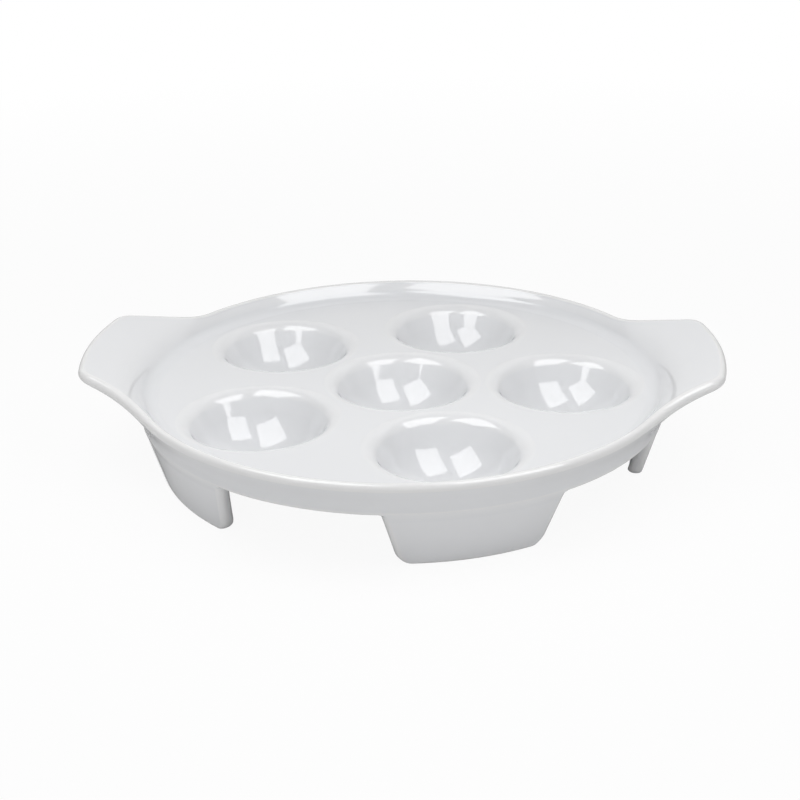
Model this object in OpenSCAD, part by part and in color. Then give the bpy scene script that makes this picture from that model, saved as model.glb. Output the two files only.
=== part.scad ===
// Footed escargot plate of glazed porcelain: a flat deck with six snail wells, a coved rim,
// two ears to lift it by, and five feet that are what is left of a cut foot ring.
// +Z is up, the ears lie along X, and the origin is on the table under the plate's middle.
// Millimetres and degrees.

/* [Wells] */
// Width of a well across its rounded edge
well_d = 44.4; // [40:0.2:48]
// Depth of a well below the deck
well_depth = 14.8; // [13.8:0.2:17]
// Radius of the rounded edge round a well
well_round = 4.6; // [3:0.2:5.6]
// Steepest slope of a well's side, straight between its rounded edge and its bowl
well_steep = 59; // [54:0.5:63]
// Wall of a well's cup under the deck
well_wall = 3.6; // [2.4:0.2:4.6]
// Deck left between the middle well and each outer well
web = 1.2; // [0.4:0.2:6]

/* [Deck] */
// Thickness of the deck
deck_t = 4.6; // [3.4:0.2:5.4]
// Flat land between the outer wells and the rim
land = 0.6; // [0.6:0.2:6]
// Space between the bottoms of the wells and the table
table_gap = 2.1; // [1.1:0.1:6]

/* [Rim] */
// Width of the rim, from the end of the flat deck to the lip
rim_w = 7.6; // [6.8:0.2:11]
// Radius of the cove where the rim leaves the deck
rim_cove = 4.4; // [3:0.2:5]
// Steepest slope of the rim
rim_rise = 60; // [48:1:64]
// Slope that the rim and the ears flatten out towards
lip_slope = 13; // [5:1:24]
// Distance over which the slope of the rim and of the ears eases off
flare_ease = 3.5; // [2:0.1:6]
// Thickness at the end of an ear
edge_t = 3; // [2.4:0.1:4]
// Thickness gained for each millimetre in from there, so that the lip is thicker
edge_taper = 0.05; // [0:0.01:0.08]
// How far the foot of the wall lies inside the lip
wall_in = 2.9; // [1.6:0.1:4]
// Lean of the wall where it leaves the round of the lip
lip_lean = 28; // [20:1:40]
// Lean of the wall at its foot
wall_lean = 3; // [0:1:14]

/* [Ears] */
// Reach of an ear beyond the lip
ear_len = 13; // [8:0.5:20]
// Half angle of an ear's end, which is round the plate's own centre, up to its corners
ear_end_half = 12.8; // [10:0.1:16]
// Radius of an ear's corners
ear_corner = 8; // [4:0.5:10]
// Radius of the hollow flanks that lead from an ear's corners to the lip
ear_hollow = 52; // [40:1:70]

/* [Feet] */
// Thickness of a foot
foot_t = 4; // [3:0.1:5]
// How far a foot leans in between the wall and the table
foot_lean = 4.6; // [2:0.2:7]
// Step from the wall in to the face of a foot
foot_step = 0.2; // [0:0.1:1]
// Half angle of a foot at the wall
foot_top_half = 19; // [17:0.5:26]
// Half angle of a foot at the table
foot_base_half = 17; // [12:0.2:18]
// Radius of a foot's lower corners
foot_corner = 4.8; // [2:0.2:6]
// Radius along the lower edges of a foot
foot_round = 1.4; // [0.6:0.1:1.5]

/* [Hidden] */
$fn = 96;
glaze = "whitesmoke";
outer_wells = 5;
pitch = 360 / outer_wells;
// The flat of the rim and the ears reaches this far in, to their seat against the deck
seat_w = 0.4;
// Past an ear's root the rim is plain, so the ear's cut ends lie this much further round
root_margin = 1;
// How far the under face keeps its slope from the edge and from the wall's foot, as shares of its reach
edge_pull = 0.45;
foot_pull = 0.35;
// Tools that cut run past the faces that they cut by this much
over = 1;
// Small step that slopes are measured over
probe = 0.05;
// Steps along the upper face and the under face of a section, and along half of its edge's round
face_steps = 12;
round_steps = 4;
// Tries that settle the radius of the edge's round
round_tries = 8;
// Sections along half an ear's end, round its corner and along its flank
end_steps = 8;
bend_steps = 9;
flank_steps = 14;
// Steps along the round of a well's edge, along its bowl, and round a foot's corner
mouth_round_steps = 12;
bowl_steps = 14;
corner_steps = 8;

well_r = well_d / 2;
ring_r = well_d + web;
flat_r = ring_r + well_r + land;
seat_r = flat_r - seat_w;
rim_r = flat_r + rim_w;
wall_r = rim_r - wall_in;
foot_r = wall_r - foot_step;
deck_z = table_gap + well_wall + well_depth;
under_z = deck_z - deck_t;
ear_r = rim_r + ear_len;
// How far out the centres of an ear's corner and flank lie; their circles touch, and at the angle of the
// flank's centre the flank leaves the lip
corner_out = ear_r - ear_corner;
flank_out = rim_r + ear_hollow;
ear_root = ear_end_half + acos((pow(corner_out, 2) + pow(flank_out, 2) - pow(ear_corner + ear_hollow, 2))
                               / (2 * corner_out * flank_out));
ear_joint = ear_root + root_margin;
// Radius of the bowl and height of its centre: with the round and the straight side it makes up the depth
bowl_r = (well_r * sin(well_steep) - well_depth * cos(well_steep)) / (1 - cos(well_steep)) - well_round;
bowl_z = deck_z - well_depth + bowl_r;

outer_names = [for (k = [1 : outer_wells]) str("outer_well_", k)];
foot_names = [for (k = [1 : outer_wells]) str("foot_", k)];

function lerp(a, b, t) = a + (b - a) * t;
function clamp01(x) = max(0, min(1, x));
function polar(r, angle) = r * [cos(angle), sin(angle)];
function arc(centre, r, from, to, steps) =
    [for (i = [0 : steps]) centre + polar(r, lerp(from, to, i / steps))];

// Places on the outline of half an ear, each a point and the direction square out of it: along the end,
// round the corner, along the flank, and on the lip past the root
function outline() =
    let (corner = polar(corner_out, ear_end_half),
         flank = polar(flank_out, ear_root),
         meet = atan2(flank.y - corner.y, flank.x - corner.x))
    concat([for (a = spread(0, ear_end_half, end_steps)) [polar(ear_r, a), a]],
           [for (a = spread(ear_end_half, meet, bend_steps)) [corner + polar(ear_corner, a), a]],
           [for (a = spread(meet, ear_root, flank_steps)) [flank - polar(ear_hollow, a), a]],
           [lip_place(ear_root), lip_place(ear_joint)]);
function spread(from, to, steps) = [for (i = [0 : steps - 1]) lerp(from, to, i / steps)];
function lip_place(angle) = [polar(rim_r, angle), angle];
function other_side(place) = [[place[0].x, -place[0].y], -place[1]];

// Height above the deck of the plate's upper face at a point in plan: a cove that leaves the flat,
// then a flare whose slope eases off exponentially
function upper(p) =
    let (slope = tan(lip_slope),
         bend_r = flat_r + rim_cove * sin(rim_rise),
         x = max(0, min(norm(p), bend_r) - flat_r),
         past = max(0, norm(p) - bend_r))
    rim_cove - sqrt(rim_cove * rim_cove - x * x) + slope * past
        + (tan(rim_rise) - slope) * flare_ease * (1 - exp(-past / flare_ease));
function lower(p) = upper(p) - edge_t - edge_taper * (ear_r - norm(p));
function upper_slope(p, way) = atan((upper(p) - upper(p - probe * way)) / probe);
function lower_slope(p, way) = atan((lower(p) - lower(p - probe * way)) / probe);

// Slope of the under face where it leaves the edge's round: the ear's own at its end, the wall's at the lip
function edge_drop(place, p) =
    let (angle = atan2(place[0].y, place[0].x),
         x = clamp01((abs(angle) - ear_end_half) / (ear_joint - ear_end_half)))
    lerp(lower_slope(p, polar(1, place[1])), 90 - lip_lean, (1 - cos(180 * x)) / 2);

// Centre in plan and radius of the round that touches the upper face, the lower face and the edge
function edge_round(place, r, tries) =
    let (way = polar(1, place[1]),
         p = place[0] - r * way)
    tries == 0 ? [p, r]
        : edge_round(place, (upper(p) - lower(p))
              / (1 / cos(upper_slope(p, way)) + 1 / cos(lower_slope(p, way))), tries - 1);

// Points on the plate's surface from the seat up over the cove to the middle of the edge
function upper_side(place, inner_r) =
    let (angle = atan2(place[0].y, place[0].x),
         way = polar(1, place[1]),
         edge = edge_round(place, edge_t / 2, round_tries),
         from = polar(flat_r, angle),
         to = edge[0] - edge[1] * sin(upper_slope(edge[0], way)) * way)
    concat([[each polar(inner_r, angle), 0]],
           [for (i = [0 : face_steps]) let (p = lerp(from, to, i / face_steps)) [p.x, p.y, upper(p)]],
           [for (i = [1 : round_steps]) edge_point(place, edge, i / (2 * round_steps + 1))]);

// Points from the seat out to the wall's foot, then up the wall and along the under face in one curve
function lower_side(place, inner_r) =
    let (angle = atan2(place[0].y, place[0].x),
         edge = edge_round(place, edge_t / 2, round_tries),
         drop = edge_drop(place, edge[0]),
         foot = [each polar(wall_r, angle), -deck_t],
         end = edge_point(place, edge, 1),
         reach = norm(end - foot),
         foot_way = [each polar(sin(wall_lean), angle), cos(wall_lean)],
         edge_way = [each polar(cos(drop), place[1]), sin(drop)])
    concat([[each polar(inner_r, angle), -deck_t]],
           [for (i = [0 : face_steps])
               curve(foot, foot + foot_pull * reach * foot_way, end - edge_pull * reach * edge_way, end,
                     i / face_steps)],
           [for (i = [2 * round_steps : -1 : round_steps + 1])
               edge_point(place, edge, i / (2 * round_steps + 1))]);
function curve(a, b, c, d, t) =
    lerp(lerp(lerp(a, b, t), lerp(b, c, t), t), lerp(lerp(b, c, t), lerp(c, d, t), t), t);

// A point on the edge's round, from where it leaves the upper face (0) to where it meets the under face (1)
function edge_point(place, edge, t) =
    let (way = polar(1, place[1]),
         tilt = upper_slope(edge[0], way),
         a = lerp(90 + tilt, edge_drop(place, edge[0]) - 90, t),
         p = edge[0] + edge[1] * cos(a) * way)
    [p.x, p.y, upper(edge[0]) - edge[1] / cos(tilt) + edge[1] * sin(a)];

function reversed(list) = [for (i = [len(list) - 1 : -1 : 0]) list[i]];
function section(place, inner_r) = concat(upper_side(place, inner_r), reversed(lower_side(place, inner_r)));

// Half section of a well's inside: the round of its edge, then its bowl; the side between them is straight
function well_line() =
    concat(arc([well_r, deck_z - well_round], well_round, 90, 90 + well_steep, mouth_round_steps),
           arc([0, bowl_z], bowl_r, well_steep - 90, -90, bowl_steps));

module well_space() {
    rotate_extrude()
        polygon(concat([[0, deck_z + over], [well_r, deck_z + over]], well_line()));
}

module at_outer_well(k) {
    rotate([0, 0, (k - 1) * pitch])
        translate([ring_r, 0, 0])
            children();
}

// The flat floor, pierced by the wells
module deck() {
    color(glaze)
        difference() {
            translate([0, 0, under_z])
                cylinder(r = seat_r, h = deck_t);
            well_space();
            for (k = [1 : outer_wells])
                at_outer_well(k)
                    well_space();
        }
}

// A well's bowl and the lower part of its side, under the deck
module cup() {
    shell = arc([0, bowl_z], bowl_r + well_wall, well_steep - 90, -90, bowl_steps);
    side = polar((deck_z - shell[0].y) / sin(well_steep), well_steep);
    color(glaze)
        difference() {
            rotate_extrude()
                polygon(concat([[0, deck_z], shell[0] + side], shell));
            well_space();
            translate([0, 0, under_z])
                cylinder(r = well_d, h = deck_t + over);
        }
}

module outer_well(k) {
    at_outer_well(k)
        cup();
}

// A stretch of cove, lip and wall between the two ears
module rim(start) {
    color(glaze)
        translate([0, 0, deck_z])
            rotate_extrude(angle = 180 - 2 * ear_joint, start = start + ear_joint)
                polygon([for (p = section(lip_place(ear_joint), seat_r)) [norm([p.x, p.y]), p.z]]);
}

// One ear with the cove that it grows out of, round +X
module ear() {
    half = outline();
    last = len(half) - 1;
    places = concat([for (i = [last : -1 : 1]) other_side(half[i])], half);
    loops = [for (place = places) section(place, seat_r - over)];
    n = len(loops[0]);
    skin = [for (i = [0 : 2 * last - 1], j = [0 : n - 1])
        let (a = i * n + j, b = i * n + (j + 1) % n)
        each [[a, b + n, b], [a, a + n, b + n]]];
    end = 2 * last * n;
    ends = [for (j = [0 : n / 2 - 2])
        let (b = n - 1 - j)
        each [[j, j + 1, b - 1], [j, b - 1, b],
              [end + j, end + b - 1, end + j + 1], [end + j, end + b, end + b - 1]]];
    color(glaze)
        difference() {
            translate([0, 0, deck_z])
                polyhedron(points = [for (loop = loops) each loop], faces = concat(skin, ends));
            translate([0, 0, under_z - over])
                cylinder(r = seat_r, h = deck_t + 2 * over);
        }
}

// Lower corner of an outline on the table whose side leans out by an angle as it rises
function leaning_corner(x, lean, r) =
    arc([x - r * (1 - sin(lean)) / cos(lean), r], r, -90, -lean, corner_steps);
function mirrored(points) = [for (p = reversed(points)) [-p.x, p.y]];

// What is left of the foot ring under an outer well, seen round +X
module foot_shape() {
    base_r = foot_r - foot_lean;
    lean = atan(foot_lean / under_z);
    back = [for (p = leaning_corner(foot_t - base_r, -lean, foot_round)) [-p.x, p.y]];
    top_w = foot_r * sin(foot_top_half);
    base_w = base_r * sin(foot_base_half);
    side = leaning_corner(base_w, atan((top_w - base_w) / under_z), foot_corner);
    intersection() {
        rotate_extrude(angle = 4 * foot_top_half, start = -2 * foot_top_half)
            polygon(concat(reversed(back), leaning_corner(base_r, lean, foot_round),
                           [[foot_r, under_z], [foot_r - foot_t, under_z]]));
        rotate([90, 0, 90])
            linear_extrude(height = rim_r)
                polygon(concat(mirrored(side), side, [[top_w, under_z], [-top_w, under_z]]));
    }
}

module foot(k) {
    color(glaze)
        rotate([0, 0, (k - 1) * pitch])
            foot_shape();
}

deck();
rim(180);  // front_rim
rim(0);  // back_rim
rotate([0, 0, 180]) ear();  // left_ear
ear();  // right_ear
cup();  // centre_well
for (k = [1 : outer_wells]) {
    outer_well(k);
    foot(k);
}
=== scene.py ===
"""Looks of a footed escargot plate of glazed porcelain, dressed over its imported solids."""

import math

import bpy
import numpy as np
from mathutils import Matrix, Vector


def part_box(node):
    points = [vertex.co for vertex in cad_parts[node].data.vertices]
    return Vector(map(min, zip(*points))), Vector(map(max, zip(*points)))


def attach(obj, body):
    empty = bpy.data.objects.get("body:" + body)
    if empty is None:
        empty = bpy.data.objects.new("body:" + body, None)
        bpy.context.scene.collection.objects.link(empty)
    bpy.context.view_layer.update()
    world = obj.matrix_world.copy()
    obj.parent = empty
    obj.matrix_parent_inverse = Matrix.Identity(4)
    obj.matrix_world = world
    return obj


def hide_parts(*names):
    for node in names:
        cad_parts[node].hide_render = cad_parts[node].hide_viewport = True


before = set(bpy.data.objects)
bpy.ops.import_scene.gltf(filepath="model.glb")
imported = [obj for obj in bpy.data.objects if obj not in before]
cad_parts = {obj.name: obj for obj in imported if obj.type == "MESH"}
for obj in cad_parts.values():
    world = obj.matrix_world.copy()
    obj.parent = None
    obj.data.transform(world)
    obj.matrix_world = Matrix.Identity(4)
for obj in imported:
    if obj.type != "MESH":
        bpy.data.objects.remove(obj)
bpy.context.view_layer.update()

# Sizes in millimetres and degrees, in the plate's own frame: +Z up, ears along X, the table at z = 0
MM = 0.001
SEAT_R, _, DECK_Z = (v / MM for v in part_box("deck")[1])
UNDER_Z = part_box("deck")[0][2] / MM
DECK_T = DECK_Z - UNDER_Z

OUTER_WELLS = 5
PITCH = 360 / OUTER_WELLS
WELL_R, WELL_DEPTH = 22.2, 14.8
WELL_ROUND, WELL_STEEP = 4.6, 59.0
WELL_WALL = 3.6
RING_R = 45.6
CUP_FILLET = 2.0

SEAT_W, RIM_W, WALL_IN = 0.4, 7.6, 2.9
FLAT_R = SEAT_R + SEAT_W
RIM_R = FLAT_R + RIM_W
WALL_R = RIM_R - WALL_IN
RIM_COVE, RIM_RISE, LIP_SLOPE = 4.4, 60.0, 13.0
FLARE_EASE = 3.5
EDGE_T, EDGE_TAPER = 3.0, 0.05
LIP_LEAN, WALL_LEAN = math.radians(28.0), math.radians(3.0)
WALL_FILLET = 0.8
# Lengths of the wall curve's two handles, as shares of its chord
EDGE_PULL, FOOT_PULL = 0.45, 0.35
# The dressed edge stays this far inside the solids' edge
EDGE_INSET = 0.05

EAR_LEN, EAR_END_HALF, EAR_CORNER, EAR_HOLLOW = 13.0, 12.8, 8.0, 52.0
ROOT_MARGIN = 1.0
EAR_R = RIM_R + EAR_LEN
CORNER_OUT = EAR_R - EAR_CORNER
FLANK_OUT = RIM_R + EAR_HOLLOW
EAR_ROOT = EAR_END_HALF + math.degrees(math.acos(
    (CORNER_OUT**2 + FLANK_OUT**2 - (EAR_CORNER + EAR_HOLLOW) ** 2) / (2 * CORNER_OUT * FLANK_OUT)))
EAR_JOINT = EAR_ROOT + ROOT_MARGIN

FOOT_STEP, FOOT_T, FOOT_LEAN = 0.2, 4.0, 4.6
FOOT_TOP_HALF, FOOT_BASE_HALF = math.radians(19.0), math.radians(17.0)
FOOT_R = WALL_R - FOOT_STEP
FOOT_BASE_R = FOOT_R - FOOT_LEAN
FOOT_TOP_W = FOOT_R * math.sin(FOOT_TOP_HALF)
FOOT_BASE_W = FOOT_BASE_R * math.sin(FOOT_BASE_HALF)
FOOT_CORNER, FOOT_ROUND = 4.8, 1.4
# The upright edges' rounding, at most this share of half the foot's thickness
FOOT_EDGE, FOOT_EDGE_SHARE = 1.9, 0.9
FOOT_FILLET, FOOT_BLEND = 0.8, 2.2
FOOT_SLOPE = FOOT_LEAN / UNDER_Z
FOOT_TOP_Z = UNDER_Z + WALL_FILLET
FOOT_BLEND_Z = UNDER_Z - FOOT_BLEND

# A well's straight side touches the round of its edge above and the bowl's sphere below
STEEP_SIN, STEEP_COS = math.sin(math.radians(WELL_STEEP)), math.cos(math.radians(WELL_STEEP))
BOWL_R = (WELL_R * STEEP_SIN - WELL_DEPTH * STEEP_COS) / (1 - STEEP_COS) - WELL_ROUND
BOWL_Z = DECK_Z - WELL_DEPTH + BOWL_R
BOWL_RIM = np.array([BOWL_R * STEEP_SIN, BOWL_Z - BOWL_R * STEEP_COS])
MOUTH_R = BOWL_RIM[0] + (UNDER_Z - BOWL_RIM[1]) * STEEP_COS / STEEP_SIN
INTO_WELL = np.array([-STEEP_SIN, STEEP_COS])

# Points along a quarter of the ring's edge
END_POINTS, CORNER_POINTS, FLANK_POINTS, MARGIN_POINTS, LIP_POINTS = 49, 27, 61, 4, 111
# Points down the ring's section
SEAT_POINTS, COVE_POINTS, EDGE_POINTS, WALL_POINTS, BEND_POINTS, UNDER_POINTS = 4, 56, 36, 52, 14, 6
# Rounds of the search for the edge's radius
EDGE_TRIES = 12
# Rays round a well: over half a pitch towards the middle, towards the rim and towards each neighbour
HALF_PITCH_RAYS, SEAT_RAYS, SIDE_RAYS = 20, 90, 36
# Points down a well and across the flats round it
MOUTH_POINTS, SIDE_POINTS, BOWL_POINTS, CUP_FILLET_POINTS = 26, 8, 44, 14
FLAT_POINTS, UNDER_FLAT_POINTS = 5, 4
# Points round a foot's section: its long sides, its short sides and its corners
LONG_POINTS, SHORT_POINTS, SECTION_CORNER_POINTS = 100, 12, 12
# Sections up a foot, and the part of a quarter turn that its rows follow in the two lower roundings
LAND_ROWS, FOOT_CORNER_ROWS, FACE_ROWS, BLEND_ROWS, FILLET_ROWS, TOP_ROWS = 12, 22, 20, 8, 12, 8
LAND_SWEEP, FOOT_CORNER_SWEEP = 70, 80
# Rows next to the table that have no glaze
BARE_ROWS = 4

# Corners nearer than this are one vertex; the offset keeps the grid of places off round numbers
WELD, WELD_OFFSET = 1e-4, 0.37
# Divisors are kept above these
TINY, LEAST_LENGTH = 1e-9, 1e-12

# How strongly the glaze runs off rounds into hollows, and its thickness on a flat
GLAZE_RUN = 1.6
EVEN_GLAZE = 0.5


def lerp(a, b, t):
    """The point a share t of the way from a to b."""
    return a + (b - a) * t


def fan(degrees):
    """Unit vectors in plan at the given angles."""
    a = np.radians(degrees)
    return np.stack([np.cos(a), np.sin(a)], -1)


def unit(v):
    """Vectors at length one."""
    return v / np.maximum(np.linalg.norm(v, axis=-1, keepdims=True), LEAST_LENGTH)


def along(p, axis, wrap):
    """Central differences of a grid along one axis; a wrapped axis closes on itself."""
    if wrap:
        return (np.roll(p, -1, axis) - np.roll(p, 1, axis)) / 2
    return np.gradient(p, axis=axis)


def grid_normals(p, wrap):
    """Normals of a grid of points (rows, columns): the cross product of its two tangents."""
    return unit(np.cross(along(p, 1, wrap), along(p, 0, False)))


def glaze_of(p, n, wrap):
    """How thick the glaze lies, from 0 where it runs thin over a sharp round to 1 where it pools in a hollow:
    one half less the mean curvature, which is the turn of the normal for each step along the two tangents."""
    bend = 0
    for axis, closed in ((0, False), (1, wrap)):
        step, turn = along(p, axis, closed), along(n, axis, closed)
        bend = bend + (step * turn).sum(-1) / np.maximum((step * step).sum(-1), TINY)
    return np.clip(EVEN_GLAZE - GLAZE_RUN * bend / 2, 0, 1)


class Skin:
    """A grid of points with a normal and a glaze thickness at each; columns may close on themselves."""

    def __init__(self, points, normals=None, wrap=False, glaze=None, bare=None):
        self.points = points
        self.wrap = wrap
        if normals is None:
            self.normals = grid_normals(points, wrap)
        else:
            self.normals = np.broadcast_to(normals, points.shape)
        if glaze is None:
            self.glaze = glaze_of(points, self.normals, wrap)
        else:
            self.glaze = np.broadcast_to(glaze, points.shape[:2])
        self.bare = np.zeros(points.shape[0] - 1, bool) if bare is None else bare

    def columns(self, which):
        """The same skin cut down to a stretch of its columns."""
        return Skin(self.points[:, which], self.normals[:, which], False, self.glaze[:, which], self.bare)

    def quads(self):
        """The four corners of each face, by their places in the list of points."""
        rows, cols = self.points.shape[:2]
        index = np.arange(rows * cols).reshape(rows, cols)
        if self.wrap:
            index = np.concatenate([index, index[:, :1]], 1)
        return np.stack([index[:-1, :-1], index[:-1, 1:], index[1:, 1:], index[1:, :-1]], -1)


def make_piece(node, skins, caps=()):
    """One closed mesh out of skins that meet along their borders and of flat caps, which are loops of points.
    Corners that fall on one place share a vertex, and each corner keeps the normal of its own skin."""
    points, normals, glaze, corners, bare = [], [], [], [], []
    count = 0
    for skin in skins:
        quads = skin.quads()
        corners.append(quads.reshape(-1, 4) + count)
        bare.append(np.repeat(skin.bare, quads.shape[1]))
        points.append(skin.points.reshape(-1, 3))
        normals.append(skin.normals.reshape(-1, 3))
        glaze.append(skin.glaze.ravel())
        count += points[-1].shape[0]
    loops = []
    for loop, normal in caps:
        loops.append(np.arange(count, count + len(loop)))
        points.append(loop)
        normals.append(np.broadcast_to(normal, loop.shape))
        glaze.append(np.full(len(loop), EVEN_GLAZE))
        count += len(loop)
    points, normals, glaze = np.concatenate(points), np.concatenate(normals), np.concatenate(glaze)
    corners, bare = np.concatenate(corners), np.concatenate(bare)

    _, first, place = np.unique(np.floor(points / WELD + WELD_OFFSET).astype(np.int64), axis=0,
                                return_index=True, return_inverse=True)
    place = place.ravel()
    # A quad at a pole has corners on one place: the doubled corner goes, and what has no area goes whole
    spots = place[corners]
    keep = spots != np.roll(spots, -1, 1)
    whole = keep.sum(1) >= 3
    folded = (spots[:, 0] == spots[:, 2]) | (spots[:, 1] == spots[:, 3])
    whole &= ~folded
    corners, keep, bare = corners[whole], keep[whole], bare[whole]
    sizes = np.concatenate([keep.sum(1), [len(loop) for loop in loops]]).astype(int)
    flat = np.concatenate([corners[keep], *loops])
    starts = np.concatenate([[0], np.cumsum(sizes)[:-1]])

    mesh = bpy.data.meshes.new(node + "_glazed")
    mesh.vertices.add(len(first))
    mesh.vertices.foreach_set("co", (points[first] * MM).ravel())
    mesh.loops.add(len(flat))
    mesh.loops.foreach_set("vertex_index", place[flat].astype(np.int32))
    mesh.polygons.add(len(sizes))
    mesh.polygons.foreach_set("loop_start", starts.astype(np.int32))
    mesh.polygons.foreach_set("material_index",
                              np.concatenate([bare, np.zeros(len(loops))]).astype(np.int32))
    mesh.update(calc_edges=True)
    mesh.attributes.new("glaze", "FLOAT", "POINT").data.foreach_set("value", glaze[first])
    mesh.shade_smooth()
    mesh.normals_split_custom_set(normals[flat])
    for finish in (glazed_porcelain, biscuit):
        mesh.materials.append(finish)
    piece = bpy.data.objects.new(mesh.name, mesh)
    bpy.context.collection.objects.link(piece)
    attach(piece, "root")
    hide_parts(node)


# Materials: colours, lengths and heights in millimetres, and the glaze's range of roughness

GLAZE_THIN, GLAZE_BODY, GLAZE_POOLED = "#EBEBEB", "#E6E7E9", "#DFE1E4"
GLAZE_IOR, GLAZE_SMOOTHEST, GLAZE_ROUGHEST = 1.8, 0.04, 0.07
CLOUD_LENGTH, CLOUD_SHARE = 30, 0.03
RIPPLE_LENGTH, RIPPLE_HEIGHT = 7, 0.01
BISCUIT_DARK, BISCUIT_LIGHT = "#D2CFC9", "#E2DFD9"
BISCUIT_ROUGHNESS = 0.75
GRAIN_LENGTH, GRAIN_HEIGHT, GRAIN_STRENGTH = 0.8, 0.05, 0.5


def linear(hex_colour):
    """An sRGB hex value as linear RGBA."""
    srgb = [int(hex_colour[i:i + 2], 16) / 255 for i in (1, 3, 5)]
    return [c / 12.92 if c <= 0.04045 else ((c + 0.055) / 1.055) ** 2.4 for c in srgb] + [1.0]


def add(tree, kind, settings=None, **links):
    """Adds a node, sets its own settings, and sets or links its inputs, by name or as i0, i1 and so on."""
    node = tree.nodes.new(kind)
    for key, value in (settings or {}).items():
        setattr(node, key, value)
    for key, value in links.items():
        numbered = key[0] == "i" and key[1:].isdigit()
        socket = node.inputs[int(key[1:]) if numbered else key.replace("_", " ")]
        if isinstance(value, bpy.types.NodeSocket):
            tree.links.new(value, socket)
        else:
            socket.default_value = value
    return node


def new_material(name):
    """A material, its node tree and its main shader."""
    material = bpy.data.materials.new(name)
    material.use_nodes = True
    tree = material.node_tree
    return material, tree, tree.nodes["Principled BSDF"]


def make_glazed_porcelain():
    """Hard porcelain under a clear feldspar glaze: a cool white body seen through glass, so it is glossy,
    with a slow ripple from the melt, a greyer tint where the glaze pools and a paler one where it is thin."""
    material, tree, shader = new_material("glazed_porcelain")
    place = add(tree, "ShaderNodeTexCoord").outputs["Object"]
    glaze = add(tree, "ShaderNodeAttribute", {"attribute_name": "glaze"}).outputs["Fac"]
    tint = add(tree, "ShaderNodeValToRGB", Fac=glaze)
    stops = tint.color_ramp.elements
    stops[0].position, stops[0].color = 0.0, linear(GLAZE_THIN)
    stops[1].position, stops[1].color = 1.0, linear(GLAZE_POOLED)
    body = stops.new(EVEN_GLAZE)
    body.color = linear(GLAZE_BODY)
    # Slow clouds in the body
    clouds = add(tree, "ShaderNodeTexNoise", Vector=place, Scale=1 / (CLOUD_LENGTH * MM), Detail=2.0)
    cloud_tint = add(tree, "ShaderNodeMix", {"data_type": "RGBA", "blend_type": "MULTIPLY"}, i0=CLOUD_SHARE)
    tree.links.new(tint.outputs["Color"], cloud_tint.inputs["A"])
    tree.links.new(clouds.outputs["Fac"], cloud_tint.inputs["B"])
    tree.links.new(cloud_tint.outputs["Result"], shader.inputs["Base Color"])
    # The melt levels itself to a long, low ripple
    ripple = add(tree, "ShaderNodeTexNoise", Vector=place, Scale=1 / (RIPPLE_LENGTH * MM), Detail=1.0)
    bump = add(tree, "ShaderNodeBump", Height=ripple.outputs["Fac"], Strength=1.0,
               Distance=RIPPLE_HEIGHT * MM)
    tree.links.new(bump.outputs["Normal"], shader.inputs["Normal"])
    rough = add(tree, "ShaderNodeMapRange", Value=clouds.outputs["Fac"],
                To_Min=GLAZE_SMOOTHEST, To_Max=GLAZE_ROUGHEST)
    tree.links.new(rough.outputs["Result"], shader.inputs["Roughness"])
    shader.inputs["IOR"].default_value = GLAZE_IOR
    return material


def make_biscuit():
    """Fired porcelain with no glaze on it, on the lands that stand on the kiln shelf: matt, faintly sandy."""
    material, tree, shader = new_material("biscuit_porcelain")
    place = add(tree, "ShaderNodeTexCoord").outputs["Object"]
    grain = add(tree, "ShaderNodeTexNoise", Vector=place, Scale=1 / (GRAIN_LENGTH * MM), Detail=3.0)
    tint = add(tree, "ShaderNodeValToRGB", Fac=grain.outputs["Fac"])
    tint.color_ramp.elements[0].color = linear(BISCUIT_DARK)
    tint.color_ramp.elements[1].color = linear(BISCUIT_LIGHT)
    tree.links.new(tint.outputs["Color"], shader.inputs["Base Color"])
    bump = add(tree, "ShaderNodeBump", Height=grain.outputs["Fac"], Strength=GRAIN_STRENGTH,
               Distance=GRAIN_HEIGHT * MM)
    tree.links.new(bump.outputs["Normal"], shader.inputs["Normal"])
    shader.inputs["Roughness"].default_value = BISCUIT_ROUGHNESS
    return material


glazed_porcelain = make_glazed_porcelain()
biscuit = make_biscuit()


# Rim and ears: one ring of sections round the plate, cut where the ears' roots end

def quarter_outline():
    """A quarter of the ring's edge in plan, from the middle of an ear's end to the middle of the rim: its
    points, the direction square out of each in degrees, and the column where the ear ends. The end and the
    lip lie round the plate's centre, the corner lies round its own, and the flank is hollow round a centre
    outside."""
    corner, flank = CORNER_OUT * fan(EAR_END_HALF), FLANK_OUT * fan(EAR_ROOT)
    meet = math.degrees(math.atan2(flank[1] - corner[1], flank[0] - corner[0]))
    end = np.linspace(0, EAR_END_HALF, END_POINTS)
    bend = np.linspace(EAR_END_HALF, meet, CORNER_POINTS)[1:]
    side = np.linspace(meet, EAR_ROOT, FLANK_POINTS)[1:]
    margin = np.linspace(EAR_ROOT, EAR_JOINT, MARGIN_POINTS)[1:]
    lip = np.linspace(EAR_JOINT, 90, LIP_POINTS)[1:]
    points = np.concatenate([
        EAR_R * fan(end),
        corner + EAR_CORNER * fan(bend),
        flank - EAR_HOLLOW * fan(side),
        RIM_R * fan(margin),
        RIM_R * fan(lip),
    ])
    ear_end = len(points) - len(lip) - 1
    return points, np.concatenate([end, bend, side, margin, lip]), ear_end


def whole_outline(points, way):
    """The quarter and its three mirror images as one closed run of columns."""
    half = np.concatenate([points, points[-2::-1] * [-1, 1]])[:-1]
    half_way = np.concatenate([way, 180 - way[-2::-1]])[:-1]
    return np.concatenate([half, -half]), np.concatenate([half_way, half_way + 180])


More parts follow.
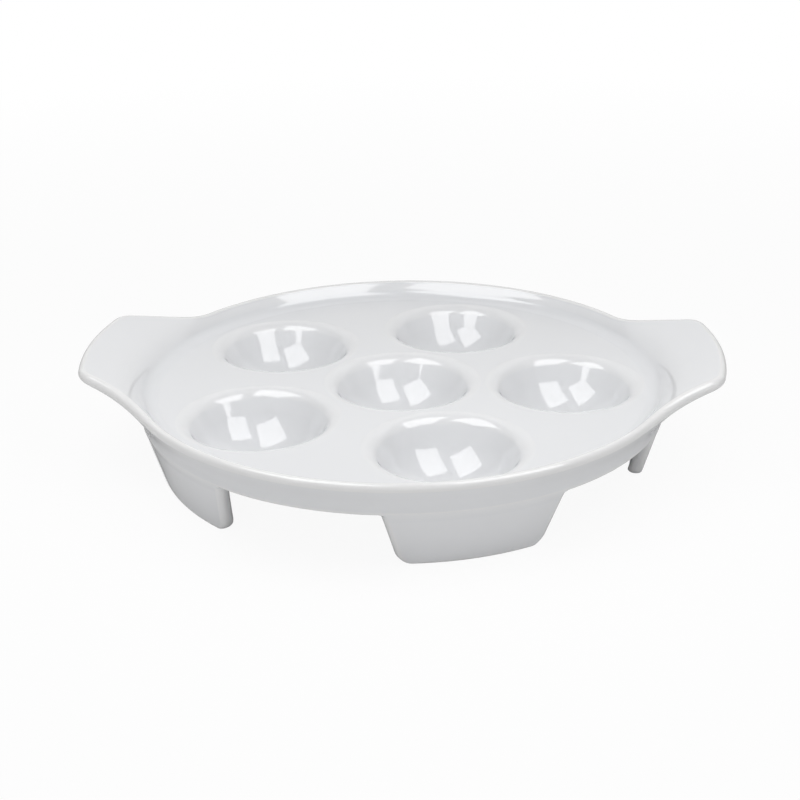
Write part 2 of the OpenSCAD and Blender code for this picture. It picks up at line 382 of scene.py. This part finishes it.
def upper(p):
    """Height above the deck of the upper face at points in plan: a cove that leaves the flat, then a flare
    whose slope eases off exponentially towards the slope of the lip and of the ears."""
    r = np.hypot(p[..., 0], p[..., 1])
    rise, slope = math.radians(RIM_RISE), math.tan(math.radians(LIP_SLOPE))
    bend_r = FLAT_R + RIM_COVE * math.sin(rise)
    x = np.clip(r, FLAT_R, bend_r) - FLAT_R
    past = np.maximum(r - bend_r, 0)
    flare = slope * past + (math.tan(rise) - slope) * FLARE_EASE * (1 - np.exp(-past / FLARE_EASE))
    return RIM_COVE - np.sqrt(RIM_COVE**2 - x**2) + flare


def lower(p):
    """Height of the under face: the upper face less a thickness that grows inwards."""
    return upper(p) - EDGE_T - EDGE_TAPER * (EAR_R - np.hypot(p[..., 0], p[..., 1]))


def slope_of(face, p, way, probe=0.02):
    """The angle at which a face climbs along a direction in plan, over a short step."""
    return np.arctan((face(p) - face(p - probe * way)) / probe)


def at(plan, z):
    """Points in plan lifted to heights z."""
    return np.concatenate([plan, np.broadcast_to(z, plan.shape[:-1])[..., None]], -1)


def row(t):
    """Shares down a section, shaped to act on rows of points."""
    return t[:, None, None]


def ring_skin(edge, turn):
    """The whole ring as one skin, closed round the plate, from its edge in plan and the directions square out
    of it. Down a section it goes from the seat against the deck over the cove to the edge, round the edge, in
    one cubic curve along the under face and down the wall, and in to the seat again. The edge is a round that
    touches the upper face; it runs out along the ear's under face at an ear's end and down the wall at the
    lip. The wall ends in a fillet at its foot."""
    out, way = unit(edge), fan(turn)
    radius = np.full(len(edge), EDGE_T / 2)
    for _ in range(EDGE_TRIES):
        middle = edge - radius[:, None] * way
        tilt, drop = slope_of(upper, middle, way), slope_of(lower, middle, way)
        radius = (upper(middle) - lower(middle)) / (1 / np.cos(tilt) + 1 / np.cos(drop))
    middle_z = upper(middle) - radius / np.cos(tilt)
    off = np.abs((np.degrees(np.arctan2(edge[:, 1], edge[:, 0])) + 90) % 180 - 90)
    plain = np.clip((off - EAR_END_HALF) / (EAR_JOINT - EAR_END_HALF), 0, 1)
    drop = lerp(drop, np.pi / 2 - LIP_LEAN, (1 - np.cos(np.pi * plain)) / 2)

    start = FLAT_R * out
    flat = lerp(SEAT_R * out, start, row(np.linspace(0, 1, SEAT_POINTS)[:-1]))
    touch = middle - (radius * np.sin(tilt))[:, None] * way
    over = lerp(start, touch, row(np.linspace(0, 1, COVE_POINTS)))
    sweep = lerp(np.pi / 2 + tilt, drop - np.pi / 2, np.linspace(0, 1, EDGE_POINTS)[1:, None])
    edge_plan = middle + (radius * np.cos(sweep))[..., None] * way

    end = at(edge_plan[-1], middle_z + radius * np.sin(sweep[-1]))
    corner = at(WALL_R * out, -DECK_T)
    up_wall = at(math.sin(WALL_LEAN) * out, math.cos(WALL_LEAN))
    from_edge = at(np.cos(drop)[:, None] * way, np.sin(drop))
    fillet = WALL_FILLET / math.cos(WALL_LEAN)
    foot = corner + fillet * up_wall
    reach = np.linalg.norm(end - foot, axis=1)[:, None]
    t = row(np.linspace(0, 1, WALL_POINTS)[1:])
    wall = (end * (1 - t) ** 3 + 3 * (end - EDGE_PULL * reach * from_edge) * t * (1 - t) ** 2
            + 3 * (foot + FOOT_PULL * reach * up_wall) * t * t * (1 - t) + foot * t**3)
    under = at((WALL_R - fillet) * out, -DECK_T)
    t = row(np.linspace(0, 1, BEND_POINTS)[1:])
    bend = foot * (1 - t) ** 2 + 2 * corner * t * (1 - t) + under * t * t
    points = np.concatenate([
        at(flat, 0.0),
        at(over, upper(over)),
        at(edge_plan, middle_z + radius * np.sin(sweep)),
        wall,
        bend,
        lerp(under, at(SEAT_R * out, -DECK_T), row(np.linspace(0, 1, UNDER_POINTS)[1:])),
    ])
    return Skin(points[::-1] + [0, 0, DECK_Z], wrap=True)


quarter_points, quarter_way, joint = quarter_outline()
quarter = len(quarter_points) - 1
ring_edge, ring_turn = whole_outline(quarter_points, quarter_way)
ring = ring_skin(ring_edge - EDGE_INSET * fan(ring_turn), ring_turn)


def ring_piece(node, start, end):
    """A stretch of the ring between two columns, with its seat on the deck and a flat cap at each end."""
    which = np.arange(start, end + 1) % len(ring_edge)
    skin = ring.columns(which)
    seat = np.stack([skin.points[-1], skin.points[0]])
    out = unit(ring_edge[which])
    seat_skin = Skin(seat, np.concatenate([-out, np.zeros((len(which), 1))], 1), glaze=EVEN_GLAZE)
    caps = []
    for column, side in ((0, -1), (-1, 1)):
        loop = skin.points[:, column]
        across = side * np.array([-out[column, 1], out[column, 0], 0])
        caps.append((loop[::-side], across))
    make_piece(node, [skin, seat_skin], caps)


ring_piece("right_ear", 4 * quarter - joint, 4 * quarter + joint)
ring_piece("back_rim", joint, 2 * quarter - joint)
ring_piece("left_ear", 2 * quarter - joint, 2 * quarter + joint)
ring_piece("front_rim", 2 * quarter + joint, 4 * quarter - joint)


# Deck and wells

well_spots = np.concatenate([np.zeros((1, 2)), RING_R * fan(PITCH * np.arange(OUTER_WELLS))])
well_turns = np.concatenate([[0.0], PITCH * np.arange(OUTER_WELLS)])

# An outer well's cell meets the seat circle, its two neighbours' cells and the middle cell; these are the
# rays to its corners
half_pitch = math.radians(PITCH / 2)
RIM_CORNER = math.degrees(math.atan2(SEAT_R * math.sin(half_pitch), SEAT_R * math.cos(half_pitch) - RING_R))
MIDDLE_CORNER = 180 - PITCH / 2
middle_rays = np.arange(0, 360, PITCH / 2 / HALF_PITCH_RAYS)
outer_rays = np.concatenate([
    np.linspace(-RIM_CORNER, RIM_CORNER, SEAT_RAYS, endpoint=False),
    np.linspace(RIM_CORNER, MIDDLE_CORNER, SIDE_RAYS, endpoint=False),
    np.linspace(MIDDLE_CORNER, 360 - MIDDLE_CORNER, 2 * HALF_PITCH_RAYS, endpoint=False),
    np.linspace(360 - MIDDLE_CORNER, 360 - RIM_CORNER, SIDE_RAYS, endpoint=False),
])


def cell_reach(well, rays):
    """Distance from a well's middle to the border of its cell along each ray, in the well's own turn: half
    way to the next well in a straight line, and for an outer well also the seat circle."""
    a = np.radians(rays)
    if well == 0:
        off = np.radians((rays + PITCH / 2) % PITCH - PITCH / 2)
        return RING_R / 2 / np.cos(off)
    to_middle = np.where(np.cos(a) < -TINY, RING_R / 2 / np.maximum(-np.cos(a), TINY), np.inf)
    side = np.sin(np.abs(np.angle(np.exp(1j * a))) - half_pitch)
    to_side = np.where(side > TINY, RING_R * math.sin(half_pitch) / np.maximum(side, TINY), np.inf)
    to_seat = np.sqrt(SEAT_R**2 - (RING_R * np.sin(a)) ** 2) - RING_R * np.cos(a)
    return np.minimum(np.minimum(to_middle, to_side), to_seat)


def spin(profile, normals, rays, spot):
    """A profile (r, z) and its normals carried round an axis at a spot, one column for each ray."""
    out = fan(rays)
    column = (len(profile), len(rays), 1)
    points = np.concatenate([spot + profile[:, None, :1] * out,
                             np.broadcast_to(profile[:, None, 1:], column)], -1)
    turned = np.concatenate([normals[:, None, :1] * out,
                             np.broadcast_to(normals[:, None, 1:], column)], -1)
    return points, turned


def arc(middle, radius, start, end, steps):
    """Points of an arc in a profile and the unit vectors that point out of its middle."""
    way = fan(np.linspace(start, end, steps))
    return middle + radius * way, way


def straight(start, end, normal, steps):
    """Points of a straight stretch of a profile after its start, and its normals."""
    points = lerp(start, end, np.linspace(0, 1, steps)[1:, None])
    return points, np.broadcast_to(normal, points.shape)


def joined(*stretches):
    """Stretches of a profile, each a list of points and one of normals, as one profile."""
    return tuple(np.concatenate(lists) for lists in zip(*stretches))


def mouth_profile():
    """A well in the thickness of the deck: the round of its edge, then its side down to the under face."""
    middle = np.array([WELL_R, DECK_Z - WELL_ROUND])
    edge = arc(middle, WELL_ROUND, 90, 90 + WELL_STEEP, MOUTH_POINTS)
    return joined(edge, straight(edge[0][-1], np.array([MOUTH_R, UNDER_Z]), INTO_WELL, SIDE_POINTS))


def make_deck():
    """The flat floor as one cell round each well, the six mouths through it, its under face and its seat."""
    profile, normals = mouth_profile()
    skins = []
    for well, spot in enumerate(well_spots):
        rays = middle_rays if well == 0 else outer_rays
        turned = rays + well_turns[well]
        out = fan(turned)
        reach = cell_reach(well, rays)
        flat = lerp(reach, WELL_R, np.linspace(0, 1, FLAT_POINTS)[:, None])[..., None] * out + spot
        top = at(flat, DECK_Z)
        mouth, mouth_out = spin(profile, normals, turned, spot)
        points = np.concatenate([top, mouth[1:]])
        skin_out = np.concatenate([np.broadcast_to([0.0, 0, 1], top.shape), mouth_out[1:]])
        skins.append(Skin(points, skin_out, wrap=True))
        below = lerp(MOUTH_R, reach, np.linspace(0, 1, UNDER_FLAT_POINTS)[:, None])[..., None] * out + spot
        under = at(below, UNDER_Z)
        skins.append(Skin(under, np.array([0.0, 0, -1]), wrap=True, glaze=EVEN_GLAZE))
        if well:
            seat = np.stack([under[-1, :SEAT_RAYS + 1], top[0, :SEAT_RAYS + 1]])
            skins.append(Skin(seat, unit(seat * [1, 1, 0]), glaze=EVEN_GLAZE))
    make_piece("deck", skins)


def make_cup(node, well):
    """A bowl under the deck: inside the rest of the straight side and a sphere, then the seat against the
    deck, and outside a fillet, the side and the sphere a wall's thickness further out."""
    rays = (middle_rays if well == 0 else outer_rays) + well_turns[well]
    spot = well_spots[well]
    bowl_middle = np.array([0, BOWL_Z])
    bowl, bowl_out = arc(bowl_middle, BOWL_R, WELL_STEEP - 90, -90, BOWL_POINTS)
    mouth = np.array([MOUTH_R, UNDER_Z])
    side = straight(mouth, BOWL_RIM, INTO_WELL, SIDE_POINTS)
    inside = joined((mouth[None], INTO_WELL[None]), side, (bowl[1:], -bowl_out[1:]))
    fillet_r = MOUTH_R + WELL_WALL / STEEP_SIN + CUP_FILLET * (1 - STEEP_COS) / STEEP_SIN
    fillet_middle = np.array([fillet_r, UNDER_Z - CUP_FILLET])
    fillet, fillet_out = arc(fillet_middle, CUP_FILLET, 90, 90 + WELL_STEEP, CUP_FILLET_POINTS)
    shell, shell_out = arc(bowl_middle, BOWL_R + WELL_WALL, WELL_STEEP - 90, -90, BOWL_POINTS)
    outer_side = straight(fillet[-1], shell[0], -INTO_WELL, SIDE_POINTS)
    outside = joined((fillet, -fillet_out), outer_side, (shell[1:], shell_out[1:]))
    seat = np.array([[fillet_r, UNDER_Z], mouth])
    skins = [
        Skin(*spin(*inside, rays, spot), wrap=True),
        Skin(*spin(seat, np.array([[0.0, 1], [0, 1]]), rays, spot), wrap=True, glaze=EVEN_GLAZE),
        Skin(*(grid[::-1] for grid in spin(*outside, rays, spot)), wrap=True),
    ]
    make_piece(node, skins)


make_deck()
make_cup("centre_well", 0)
for k in range(1, OUTER_WELLS + 1):
    make_cup(f"outer_well_{k}", k)


# Feet

def lower_round(x, lean, radius, z):
    """Reach of an outline at heights z whose side leans out by a slope from x on the table, with its lower
    corner rounded."""
    angle = math.atan(lean)
    middle = x - radius * (1 - math.sin(angle)) / math.cos(angle)
    touch = radius * (1 - math.sin(angle))
    low = np.clip(z, 0, touch)
    return np.where(z < touch, middle + np.sqrt(radius**2 - (radius - low) ** 2), x + lean * z)


def foot_section():
    """A rounded oblong as two lists: the corner of the inner oblong that each point belongs to, and the
    point's direction from there."""
    corners, ways = [], []
    for side, count in enumerate((SHORT_POINTS, LONG_POINTS, SHORT_POINTS, LONG_POINTS)):
        turn = 90.0 * side
        ahead, left = fan(turn), fan(turn + 90)
        corners.append(ahead + np.linspace(-1, 1, count)[:, None] * left)
        ways.append(np.broadcast_to(ahead, (count, 2)))
        bend = fan(np.linspace(turn, turn + 90, SECTION_CORNER_POINTS)[1:-1])
        corners.append(np.broadcast_to(ahead + left, bend.shape))
        ways.append(bend)
    return np.concatenate(corners), np.concatenate(ways)


def foot_heights():
    """Heights of a foot's sections, close together in its lower roundings, its blend and its fillet."""
    land = FOOT_ROUND * (1 - np.cos(np.radians(np.linspace(0, LAND_SWEEP, LAND_ROWS))))
    corner = FOOT_CORNER * (1 - np.cos(np.radians(np.linspace(0, FOOT_CORNER_SWEEP, FOOT_CORNER_ROWS))))
    return np.unique(np.concatenate([
        land,
        corner[corner > land[-1]],
        np.linspace(corner[-1], FOOT_BLEND_Z, FACE_ROWS),
        np.linspace(FOOT_BLEND_Z, UNDER_Z - FOOT_FILLET, BLEND_ROWS),
        UNDER_Z - FOOT_FILLET * np.cos(np.radians(np.linspace(0, 90, FILLET_ROWS))),
        np.linspace(UNDER_Z, FOOT_TOP_Z, TOP_ROWS),
    ]))


def foot_face(z):
    """Radius of a foot's outer face at heights z: straight up to the blend, then a cubic that leaves the
    straight and meets the wall on their own slopes."""
    wall_lean = math.tan(WALL_LEAN)
    wall_r = WALL_R + WALL_FILLET * wall_lean
    face_r = FOOT_BASE_R + FOOT_SLOPE * FOOT_BLEND_Z
    span = FOOT_TOP_Z - FOOT_BLEND_Z
    s = np.clip((z - FOOT_BLEND_Z) / span, 0, 1)
    bent = (face_r * (1 + 2 * s) * (1 - s) ** 2 + FOOT_SLOPE * span * s * (1 - s) ** 2
            + wall_r * s * s * (3 - 2 * s) + wall_lean * span * s * s * (s - 1))
    return np.where(z > FOOT_BLEND_Z, bent, lower_round(FOOT_BASE_R, FOOT_SLOPE, FOOT_ROUND, z))


def make_foot(node, turn):
    """A leaning stretch of foot ring: rounded oblong sections, bent round the plate, from the land on the
    table up to the wall, which its face runs into without a step. Its ends are radial, lean in and have round
    lower corners; a fillet leads into the deck's under face; the land and the buried top shrink onto the
    section's middle line, which closes the shape."""
    share, way = foot_section()
    z = foot_heights()
    flare = FOOT_FILLET - np.sqrt(FOOT_FILLET**2 - np.clip(z - UNDER_Z + FOOT_FILLET, 0, FOOT_FILLET) ** 2)
    half_w = lower_round(FOOT_BASE_W, (FOOT_TOP_W - FOOT_BASE_W) / UNDER_Z, FOOT_CORNER, z) + flare
    half_angle = np.arcsin(half_w / FOOT_R)
    outer = foot_face(z)[:, None]
    inner = -lower_round(FOOT_T - FOOT_BASE_R, -FOOT_SLOPE, FOOT_ROUND, z)[:, None] - flare[:, None]
    half_t = (outer - inner) / 2
    middle = (outer + inner) / 2
    edge = np.minimum(FOOT_EDGE, FOOT_EDGE_SHARE * half_t)
    # The land and the buried top close onto the middle line
    z = np.concatenate([[0], z, [FOOT_TOP_Z]])
    ends = [0, *range(len(half_t)), -1]
    half_t, middle, edge, half_angle = half_t[ends], middle[ends], edge[ends], half_angle[ends]
    flat = np.ones((len(ends), 1))
    flat[[0, -1]] = 0
    radius = middle + flat * ((half_t - edge) * share[:, 0] + edge * way[:, 0])
    inset = edge / middle
    across = (half_angle[:, None] - inset) * share[:, 1] + flat * inset * way[:, 1]
    across = across + math.radians(turn)
    points = np.stack([radius * np.cos(across), radius * np.sin(across),
                       np.broadcast_to(z[:, None], radius.shape)], -1)
    bare = np.zeros(len(z) - 2, bool)
    bare[:BARE_ROWS] = True
    side = Skin(points[:-1], wrap=True, bare=bare)
    side.normals[0] = (0, 0, -1)
    top = Skin(points[-2:], np.array([0.0, 0, 1]), wrap=True, glaze=EVEN_GLAZE)
    make_piece(node, [side, top])


for k in range(OUTER_WELLS):
    make_foot(f"foot_{k + 1}", PITCH * k)


# Floor, lights and camera

# Half the floor's side and the stretch over which it turns all white, in metres from the plate's middle
FLOOR_HALF, FLOOR_NEAR, FLOOR_FAR = 4.0, 0.14, 0.6
FLOOR_PAPER = "#ECECEC"
# The share of plain white that the camera sees near the plate, where the rest keeps the shadow
NEAR_WHITE = 0.93


def make_floor():
    """A wide pale floor that looks white from the camera and keeps a soft part of the plate's shadow."""
    mesh = bpy.data.meshes.new("floor")
    half = FLOOR_HALF
    corners = [(-half, -half, 0), (half, -half, 0), (half, half, 0), (-half, half, 0)]
    mesh.from_pydata(corners, [], [(0, 1, 2, 3)])
    material = bpy.data.materials.new("floor_paper")
    material.use_nodes = True
    tree = material.node_tree
    tree.nodes.clear()
    path = add(tree, "ShaderNodeLightPath")
    paper = add(tree, "ShaderNodeBsdfDiffuse", Color=linear(FLOOR_PAPER))
    white = add(tree, "ShaderNodeEmission", Color=(1, 1, 1, 1), Strength=1.0)
    # Away from the plate, past its shadow, the floor is all white like the background
    away = add(tree, "ShaderNodeVectorMath", {"operation": "LENGTH"},
               i0=add(tree, "ShaderNodeTexCoord").outputs["Object"])
    whiter = add(tree, "ShaderNodeMapRange", Value=away.outputs["Value"], From_Min=FLOOR_NEAR,
                 From_Max=FLOOR_FAR, To_Min=NEAR_WHITE, To_Max=1.0)
    share = add(tree, "ShaderNodeMath", {"operation": "MULTIPLY"}, i0=path.outputs["Is Camera Ray"],
                i1=whiter.outputs[0])
    mix = add(tree, "ShaderNodeMixShader", i0=share.outputs[0], i1=paper.outputs[0], i2=white.outputs[0])
    # From below the floor is clear, so that the underside can be looked at
    behind = add(tree, "ShaderNodeNewGeometry").outputs["Backfacing"]
    clear = add(tree, "ShaderNodeBsdfTransparent")
    sided = add(tree, "ShaderNodeMixShader", i0=behind, i1=mix.outputs[0], i2=clear.outputs[0])
    add(tree, "ShaderNodeOutputMaterial", Surface=sided.outputs[0])
    mesh.materials.append(material)
    floor = bpy.data.objects.new("floor", mesh)
    bpy.context.collection.objects.link(floor)


def turned_to(place, *axes):
    """The matrix of a thing at a place in metres with its own three axes along the given directions."""
    return Matrix.Translation(place) @ Matrix(axes).transposed().to_4x4()


def add_softbox(name, place, facing, turn, size, brightness):
    """A rectangular soft light: the place of its middle and its size in millimetres, the direction that it
    faces, the direction in plan of its width, and the brightness of its face, where 1 is white paper in full
    light."""
    light = bpy.data.lights.new(name, "AREA")
    light.shape = "RECTANGLE"
    light.size, light.size_y = (side * MM for side in size)
    light.energy = brightness * math.pi * light.size * light.size_y
    back = -Vector(facing).normalized()
    width = Vector((math.cos(math.radians(turn)), math.sin(math.radians(turn)), 0))
    width = (width - back * width.dot(back)).normalized()
    lamp = bpy.data.objects.new(name, light)
    lamp.matrix_world = turned_to(Vector(place) * MM, width, back.cross(width), back)
    lamp.visible_camera = False
    bpy.context.collection.objects.link(lamp)


def make_world(strength):
    """An even studio room, seen as plain white behind the plate."""
    world = bpy.data.worlds.new("studio")
    world.use_nodes = True
    tree = world.node_tree
    back = tree.nodes["Background"]
    back.inputs["Color"].default_value = (1, 1, 1, 1)
    seen = add(tree, "ShaderNodeLightPath").outputs["Is Camera Ray"]
    level = add(tree, "ShaderNodeMapRange", Value=seen, To_Min=strength, To_Max=1.0)
    tree.links.new(level.outputs["Result"], back.inputs["Strength"])
    bpy.context.scene.world = world


# Camera fitted to the photograph: the deck's middle is at this pixel of the 800-pixel frame, and the camera
# stands this far from it
FRAME_PX = 800
DECK_PX = (402.3, 380.3)
FOCAL_PX = 1397.0
CAMERA_AWAY = 395.3
CAMERA_TURN, CAMERA_UP, CAMERA_ROLL = 3.58, 22.42, -0.82
# In the camera's own units, millimetres of sensor and metres of distance
SENSOR_WIDTH, CLIP_START = 36.0, 0.01


def make_camera():
    """The camera, looking at the deck's middle, which the lens shift puts at its pixel."""
    turn, up, roll = (math.radians(v) for v in (CAMERA_TURN, CAMERA_UP, CAMERA_ROLL))
    back = Vector((math.sin(turn) * math.cos(up), -math.cos(turn) * math.cos(up), math.sin(up)))
    level = Vector((math.cos(turn), math.sin(turn), 0))
    upright = back.cross(level)
    right = level * math.cos(roll) + upright * math.sin(roll)
    top = upright * math.cos(roll) - level * math.sin(roll)
    data = bpy.data.cameras.new("camera")
    data.sensor_width = SENSOR_WIDTH
    data.lens = data.sensor_width * FOCAL_PX / FRAME_PX
    data.shift_x = (FRAME_PX / 2 - DECK_PX[0]) / FRAME_PX
    data.shift_y = (DECK_PX[1] - FRAME_PX / 2) / FRAME_PX
    data.clip_start = CLIP_START
    camera = bpy.data.objects.new("camera", data)
    place = Vector((0, 0, DECK_Z * MM)) + back * CAMERA_AWAY * MM
    camera.matrix_world = turned_to(place, right, top, back)
    bpy.context.collection.objects.link(camera)
    bpy.context.scene.camera = camera


make_floor()
add_softbox("left_softbox", place=(-94, -70, 236), facing=(0.36, 0.29, -1), turn=18.5,
            size=(153, 195), brightness=2.5)
add_softbox("right_softbox", place=(105, -63, 221), facing=(-0.59, 0.29, -1), turn=28.7,
            size=(141, 180), brightness=2.5)
add_softbox("back_wall", place=(0, 600, 560), facing=(0, -1, 0), turn=0,
            size=(1600, 1000), brightness=0.42)
add_softbox("front_wall", place=(0, -600, 160), facing=(0, 1, -0.2), turn=0,
            size=(2000, 240), brightness=0.7)
make_world(strength=0.33)
make_camera()
bpy.context.scene.view_settings.view_transform = "Standard"
